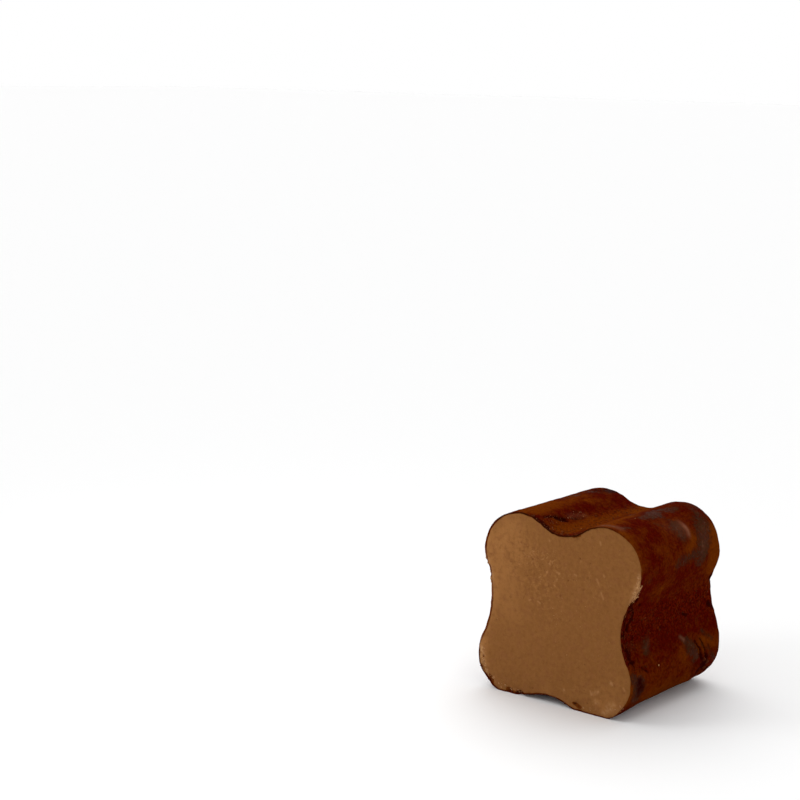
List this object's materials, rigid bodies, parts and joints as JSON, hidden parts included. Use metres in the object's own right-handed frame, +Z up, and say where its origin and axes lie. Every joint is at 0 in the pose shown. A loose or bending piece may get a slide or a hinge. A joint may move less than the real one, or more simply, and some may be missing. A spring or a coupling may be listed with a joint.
{
  "type": "chocolate truffle",
  "caption": "Chocolate truffle bar with round lobes in a thin cocoa coat, cut straight across to show its smooth tan nut-cream filling.",
  "frame": {"origin": "on the table, under the middle of the truffle's box", "axes": "+X to the right as the cut face is looked at, +Y back from the cut face along the bar, +Z up"},
  "size_m": [0.0248, 0.0224, 0.0248],
  "materials": {
    "filling": null,
    "cocoa_coat": null
  },
  "bodies": {
    "root": {"filling": "filling", "cocoa_coat": "cocoa_coat"}
  },
  "joints": []
}
